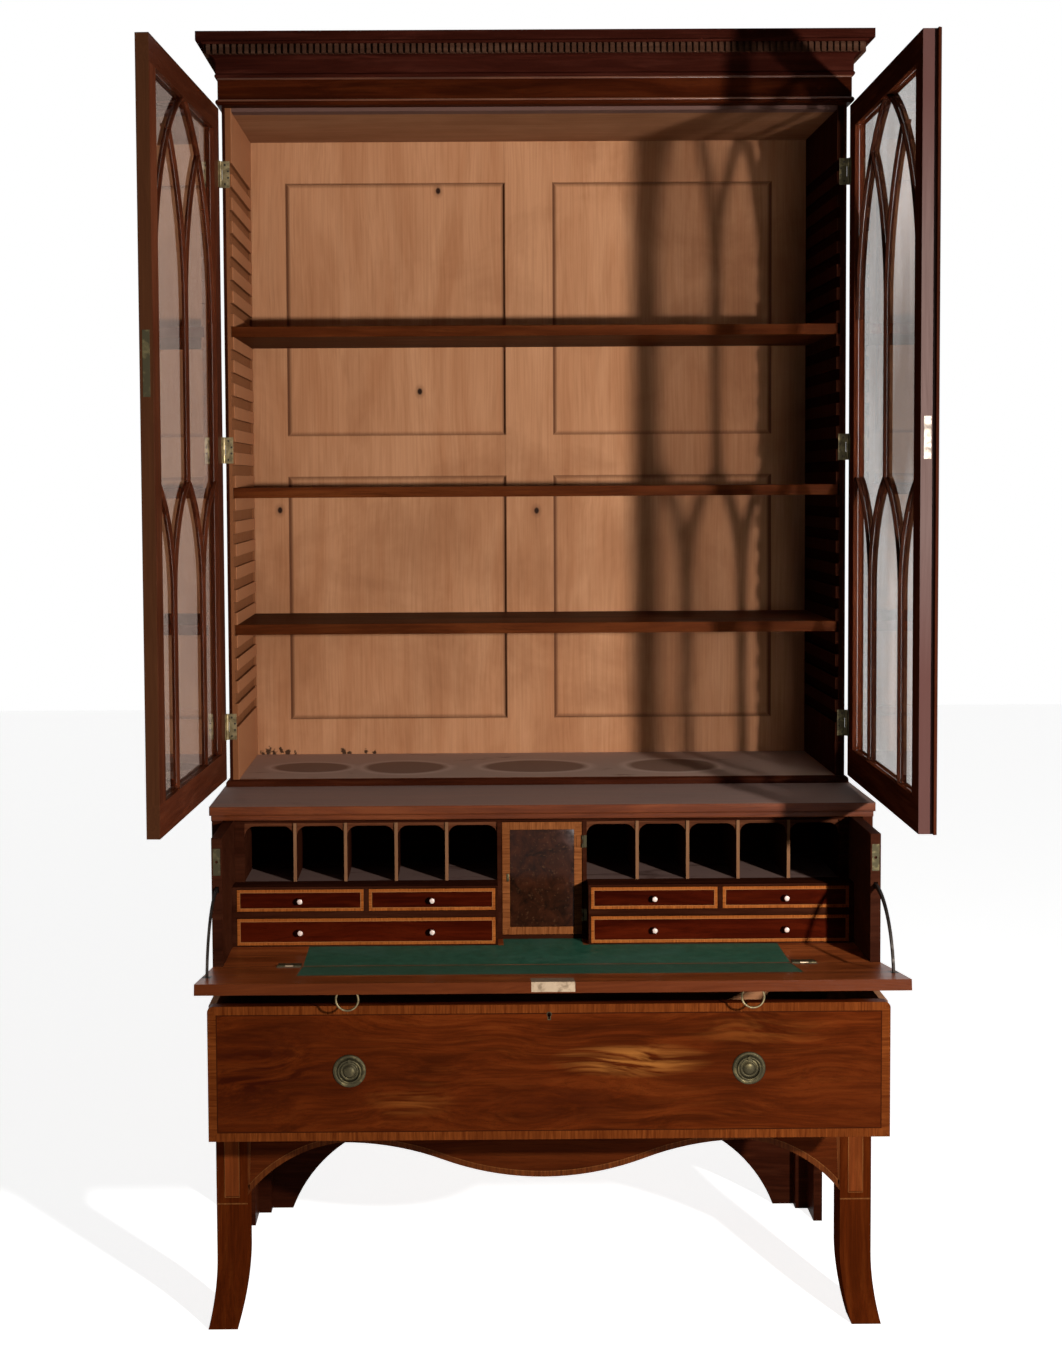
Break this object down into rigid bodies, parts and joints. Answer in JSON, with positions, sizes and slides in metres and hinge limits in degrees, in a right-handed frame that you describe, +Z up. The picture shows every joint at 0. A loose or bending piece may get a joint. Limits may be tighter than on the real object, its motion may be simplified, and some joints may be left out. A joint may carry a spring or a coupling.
{
  "type": "secretaire bookcase",
  "caption": "Glazed mahogany bookcase with Gothic tracery doors on a base with a fall-front secretaire drawer and a long drawer, on splayed front legs.",
  "frame": {"origin": "on the floor, under the middle of the object's bounding box with its doors and drawers as pictured", "axes": "+X to the right along the front, -Y out of the front, +Z up"},
  "size_m": [1.2863, 0.9474, 2.387],
  "materials": {
    "mahogany": "waxed, dark red-brown",
    "pine": "plain aged secondary wood",
    "brass": "aged, slightly green",
    "leather": "worn dark green",
    "glass": "clear old window glass"
  },
  "bodies": {
    "case": {"back_frame": "pine", "back_panels": "pine", "base_back": "pine", "base_bottom": "pine", "base_left_side": "mahogany", "base_right_side": "mahogany", "base_top": "mahogany", "bookcase_bottom": "mahogany", "bookcase_left_side": "mahogany", "bookcase_right_side": "mahogany", "bookcase_top": "pine", "cornice": "mahogany", "dentil_course": "mahogany", "drawer_divider": "mahogany", "frieze": "mahogany", "front_apron": "mahogany", "front_left_leg": "mahogany", "front_right_leg": "mahogany", "left_case_hinges": "brass", "rear_feet": "mahogany", "right_case_hinges": "brass", "side_skirts": "mahogany", "waist_moulding": "mahogany"},
    "left_door": {"left_door_frame": "mahogany", "left_door_glazing_bars": "mahogany", "left_door_panes": "glass", "left_door_hinges": "brass"},
    "right_door": {"right_door_frame": "mahogany", "right_door_glazing_bars": "mahogany", "right_door_panes": "glass", "right_door_hinges": "brass", "meeting_bead": "mahogany"},
    "lower_shelf": {"lower_shelf": "mahogany"},
    "middle_shelf": {"middle_shelf": "mahogany"},
    "upper_shelf": {"upper_shelf": "mahogany"},
    "secretaire": {"secretaire_case": "mahogany", "secretaire_floor": "mahogany", "floor_leather": "leather", "secretaire_brasses": "brass", "pigeonhole_case": "mahogany", "pigeonhole_dividers": "mahogany", "pigeonhole_arches": "mahogany"},
    "prospect_door": {"prospect_door": "mahogany"},
    "fall_front": {"fall_board": "mahogany", "fall_leather": "leather", "fall_brasses": "brass", "quadrant_stays": "brass"},
    "fall_left_ring": {"fall_left_ring": "brass"},
    "fall_right_ring": {"fall_right_ring": "brass"},
    "long_drawer": {"long_drawer_front": "mahogany", "long_drawer_box": "pine", "long_drawer_plates": "brass"},
    "long_left_ring": {"long_left_ring": "brass"},
    "long_right_ring": {"long_right_ring": "brass"},
    "left_wide_drawer": {"left_wide_drawer": "mahogany"},
    "left_inner_drawer": {"left_inner_drawer": "mahogany"},
    "left_outer_drawer": {"left_outer_drawer": "mahogany"},
    "right_wide_drawer": {"right_wide_drawer": "mahogany"},
    "right_inner_drawer": {"right_inner_drawer": "mahogany"},
    "right_outer_drawer": {"right_outer_drawer": "mahogany"}
  },
  "joints": [
    {"name": "left_door_hinge", "type": "hinge", "parent": "case", "child": "left_door", "pos_m": [-0.5976, 0.1325, 1.609], "axis": [0, 0, -1], "range_deg": [-93, 80]},
    {"name": "right_door_hinge", "type": "hinge", "parent": "case", "child": "right_door", "pos_m": [0.5976, 0.1325, 1.609], "axis": [0, 0, 1], "range_deg": [-88.9, 80]},
    {"name": "secretaire_slide", "type": "slide", "parent": "case", "child": "secretaire", "axis": [0, -1, 0], "range_m": [-0.166, 0.08]},
    {"name": "fall_hinge", "type": "hinge", "parent": "secretaire", "child": "fall_front", "pos_m": [0, -0.234, 0.707], "axis": [1, 0, 0], "range_deg": [-82, 0]},
    {"name": "long_drawer_slide", "type": "slide", "parent": "case", "child": "long_drawer", "axis": [0, -1, 0], "range_m": [-0.225, 0.12]},
    {"name": "prospect_door_hinge", "type": "hinge", "parent": "secretaire", "child": "prospect_door", "pos_m": [0.074, -0.0574, 0.819], "axis": [0, 0, 1], "range_deg": [0, 88]},
    {"name": "lower_shelf_slide", "type": "slide", "parent": "case", "child": "lower_shelf", "axis": [0, -1, 0], "range_m": [0, 0.2]},
    {"name": "middle_shelf_slide", "type": "slide", "parent": "case", "child": "middle_shelf", "axis": [0, -1, 0], "range_m": [0, 0.2]},
    {"name": "upper_shelf_slide", "type": "slide", "parent": "case", "child": "upper_shelf", "axis": [0, -1, 0], "range_m": [0, 0.2]},
    {"name": "left_wide_drawer_slide", "type": "slide", "parent": "secretaire", "child": "left_wide_drawer", "axis": [0, -1, 0], "range_m": [0, 0.12]},
    {"name": "left_inner_drawer_slide", "type": "slide", "parent": "secretaire", "child": "left_inner_drawer", "axis": [0, -1, 0], "range_m": [0, 0.12]},
    {"name": "left_outer_drawer_slide", "type": "slide", "parent": "secretaire", "child": "left_outer_drawer", "axis": [0, -1, 0], "range_m": [0, 0.12]},
    {"name": "right_wide_drawer_slide", "type": "slide", "parent": "secretaire", "child": "right_wide_drawer", "axis": [0, -1, 0], "range_m": [0, 0.12]},
    {"name": "right_inner_drawer_slide", "type": "slide", "parent": "secretaire", "child": "right_inner_drawer", "axis": [0, -1, 0], "range_m": [0, 0.12]},
    {"name": "right_outer_drawer_slide", "type": "slide", "parent": "secretaire", "child": "right_outer_drawer", "axis": [0, -1, 0], "range_m": [0, 0.12]},
    {"name": "fall_left_ring_swing", "type": "hinge", "parent": "fall_front", "child": "fall_left_ring", "pos_m": [-0.34, -0.35374, 0.70111], "axis": [-1, 0, 0], "range_deg": [-80, 65]},
    {"name": "long_left_ring_swing", "type": "hinge", "parent": "long_drawer", "child": "long_left_ring", "pos_m": [-0.34, -0.3155, 0.56575], "axis": [-1, 0, 0], "range_deg": [0, 95]},
    {"name": "fall_right_ring_swing", "type": "hinge", "parent": "fall_front", "child": "fall_right_ring", "pos_m": [0.34, -0.35374, 0.70111], "axis": [-1, 0, 0], "range_deg": [-80, 65]},
    {"name": "long_right_ring_swing", "type": "hinge", "parent": "long_drawer", "child": "long_right_ring", "pos_m": [0.34, -0.3155, 0.56575], "axis": [-1, 0, 0], "range_deg": [0, 95]}
  ]
}
